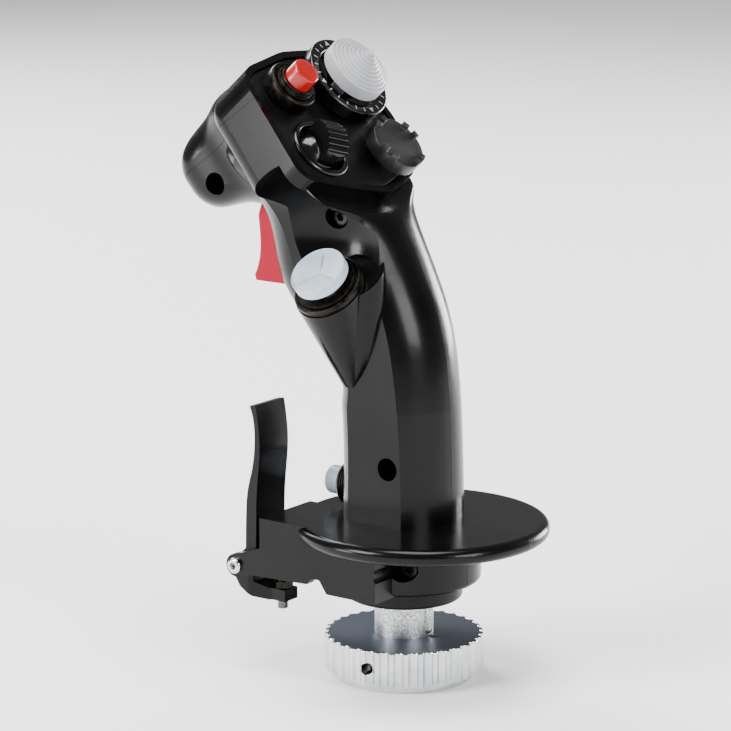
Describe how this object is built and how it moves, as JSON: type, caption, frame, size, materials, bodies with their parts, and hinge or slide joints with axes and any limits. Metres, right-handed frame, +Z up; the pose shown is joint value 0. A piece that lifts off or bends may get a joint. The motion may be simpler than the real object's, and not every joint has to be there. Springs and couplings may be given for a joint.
{
  "type": "flight joystick",
  "caption": "Right-hand flight stick grip with thumb hats, red release button, trigger, pinky button, paddle lever, hand rest and a knurled screw ring below.",
  "frame": {"origin": "centre of the screw ring's mouth, on the neck's axis", "axes": "+Z up the neck, +Y forward to the trigger side, -Y aft to the pilot, +X to the pilot's right"},
  "size_m": [0.073, 0.1164, 0.1808],
  "materials": {
    "shell_black": "satin black paint over die-cast metal",
    "panel_black": "satin black paint",
    "collar_black": "satin black paint",
    "control_black": "satin black plastic",
    "gunmetal": "dark turned metal",
    "ring_silver": "bright machined flutes, satin top",
    "cast_silver": "granular bare casting",
    "bright_steel": "polished steel",
    "steel": "plain steel",
    "brass": "plain brass",
    "red_gloss": "glossy red plastic",
    "trigger_red": "satin rose-red plastic",
    "hat_white": "satin off-white plastic",
    "disc_white": "satin cool white plastic",
    "board_green": "solder mask",
    "switch_black": "moulded switch bodies"
  },
  "bodies": {
    "root": {"left_shell": "shell_black", "right_shell": "shell_black", "thumb_panel": "panel_black", "base_insert": "collar_black", "neck_tube": "cast_silver", "neck_cross_pin": "steel", "plug_shell": "steel", "plug_pins": "brass", "shell_screws": "steel", "control_board": "board_green", "board_screws": "steel", "board_headers": "switch_black", "control_chip": "switch_black", "trim_dial": "control_black", "trim_switch_body": "switch_black", "castle_switch_body": "switch_black", "selector_bezel": "control_black", "selector_switch_body": "switch_black", "thumb_collar": "gunmetal", "thumb_switch_body": "switch_black", "red_button_guard": "gunmetal", "red_button_bushing": "gunmetal", "red_button_nut": "steel", "red_button_spring": "steel", "red_button_switch": "switch_black", "pinky_collar": "gunmetal", "pinky_spring": "steel", "pinky_switch": "switch_black", "trigger_pin": "steel", "trigger_spring": "steel", "trigger_switches": "switch_black", "paddle_pivot_screw": "bright_steel", "paddle_pivot_nut": "bright_steel", "paddle_spring": "steel", "paddle_switch": "switch_black"},
    "slip_washer": {"slip_washer": "brass"},
    "lock_ring": {"lock_ring": "ring_silver"},
    "trigger": {"trigger": "trigger_red"},
    "trigger_plunger": {"trigger_plunger": "switch_black"},
    "red_button": {"red_button": "red_gloss"},
    "trim_gimbal": {"trim_gimbal": "steel"},
    "trim_hat": {"trim_hat": "hat_white"},
    "castle_slider": {"castle_slider": "switch_black"},
    "castle_gimbal": {"castle_gimbal": "steel"},
    "castle_hat": {"castle_hat": "control_black"},
    "selector_slider": {"selector_slider": "switch_black"},
    "selector_gimbal": {"selector_gimbal": "steel"},
    "selector_knob": {"selector_knob": "control_black"},
    "thumb_slider": {"thumb_slider": "switch_black"},
    "thumb_gimbal": {"thumb_gimbal": "steel"},
    "thumb_disc": {"thumb_disc": "disc_white"},
    "pinky_button": {"pinky_button": "disc_white"},
    "paddle": {"paddle_lever": "shell_black", "paddle_adjuster": "steel", "paddle_locknut": "gunmetal"},
    "paddle_plunger": {"paddle_plunger": "switch_black"}
  },
  "joints": [
    {"name": "ring_float", "type": "slide", "parent": "root", "child": "slip_washer", "axis": [0, 0, 1], "range_m": [0, 0.0005]},
    {"name": "ring_spin", "type": "hinge", "parent": "slip_washer", "child": "lock_ring", "pos_m": [0, 0, 0.007], "axis": [0, 0, 1], "continuous": true},
    {"name": "trigger_pull", "type": "hinge", "parent": "root", "child": "trigger", "pos_m": [0, 0.0415, 0.1335], "axis": [-1, 0, 0], "range_deg": [0, 10], "stiffness_Nm_per_rad": 0.3},
    {"name": "trigger_plunger_travel", "type": "slide", "parent": "root", "child": "trigger_plunger", "axis": [0, -1, 0], "range_m": [0, 0.0036]},
    {"name": "red_button_press", "type": "slide", "parent": "root", "child": "red_button", "axis": [0, 0.7431, -0.6691], "range_m": [0, 0.0014], "stiffness_N_per_m": 80},
    {"name": "trim_fore_aft", "type": "hinge", "parent": "root", "child": "trim_gimbal", "pos_m": [0.0085, 0.03322, 0.1634], "axis": [1, 0, 0], "range_deg": [-4, 4], "stiffness_Nm_per_rad": 0.05},
    {"name": "trim_left_right", "type": "hinge", "parent": "trim_gimbal", "child": "trim_hat", "pos_m": [0.0085, 0.03322, 0.1634], "axis": [0, 0.6691, 0.7431], "range_deg": [-4, 4], "stiffness_Nm_per_rad": 0.05},
    {"name": "castle_press", "type": "slide", "parent": "root", "child": "castle_slider", "axis": [0, 0.7431, -0.6691], "range_m": [0, 0.0005], "stiffness_N_per_m": 80},
    {"name": "castle_fore_aft", "type": "hinge", "parent": "castle_slider", "child": "castle_gimbal", "pos_m": [0.0086, 0.01676, 0.14512], "axis": [1, 0, 0], "range_deg": [-6, 6], "stiffness_Nm_per_rad": 0.05},
    {"name": "castle_left_right", "type": "hinge", "parent": "castle_gimbal", "child": "castle_hat", "pos_m": [0.0086, 0.01676, 0.14512], "axis": [0, 0.6691, 0.7431], "range_deg": [-6, 6], "stiffness_Nm_per_rad": 0.05},
    {"name": "selector_press", "type": "slide", "parent": "root", "child": "selector_slider", "axis": [0, 0.7431, -0.6691], "range_m": [0, 0.0006], "stiffness_N_per_m": 80},
    {"name": "selector_fore_aft", "type": "hinge", "parent": "selector_slider", "child": "selector_gimbal", "pos_m": [-0.0166, 0.02084, 0.14965], "axis": [0.9397, -0.2289, -0.2542], "range_deg": [-7, 7], "stiffness_Nm_per_rad": 0.05},
    {"name": "selector_left_right", "type": "hinge", "parent": "selector_gimbal", "child": "selector_knob", "pos_m": [-0.0166, 0.02084, 0.14965], "axis": [0.342, 0.6288, 0.6983], "range_deg": [-7, 7], "stiffness_Nm_per_rad": 0.05},
    {"name": "thumb_press", "type": "slide", "parent": "root", "child": "thumb_slider", "axis": [0.6601, -0.04, -0.7501], "range_m": [0, 0.0006], "stiffness_N_per_m": 80},
    {"name": "thumb_fore_aft", "type": "hinge", "parent": "thumb_slider", "child": "thumb_gimbal", "pos_m": [-0.01687, 0.01109, 0.1107], "axis": [0.7507, 0, 0.6606], "range_deg": [-6, 6], "stiffness_Nm_per_rad": 0.05},
    {"name": "thumb_up_down", "type": "hinge", "parent": "thumb_gimbal", "child": "thumb_disc", "pos_m": [-0.01687, 0.01109, 0.1107], "axis": [0.0264, 0.9992, -0.03], "range_deg": [-6, 6], "stiffness_Nm_per_rad": 0.05},
    {"name": "pinky_button_press", "type": "slide", "parent": "root", "child": "pinky_button", "axis": [0, -1, 0], "range_m": [0, 0.0016], "stiffness_N_per_m": 80},
    {"name": "paddle_pull", "type": "hinge", "parent": "root", "child": "paddle", "pos_m": [-0.0177, 0.0396, 0.0316], "axis": [1, 0, 0], "range_deg": [0, 10], "stiffness_Nm_per_rad": 0.4},
    {"name": "paddle_plunger_travel", "type": "slide", "parent": "root", "child": "paddle_plunger", "axis": [0, 0, -1], "range_m": [0, 0.0017]}
  ],
  "couplings": [
    {"joint": "trigger_plunger_travel", "follows": "trigger_pull", "m_per_rad": 0.0195},
    {"joint": "paddle_plunger_travel", "follows": "paddle_pull", "m_per_rad": 0.0092}
  ]
}
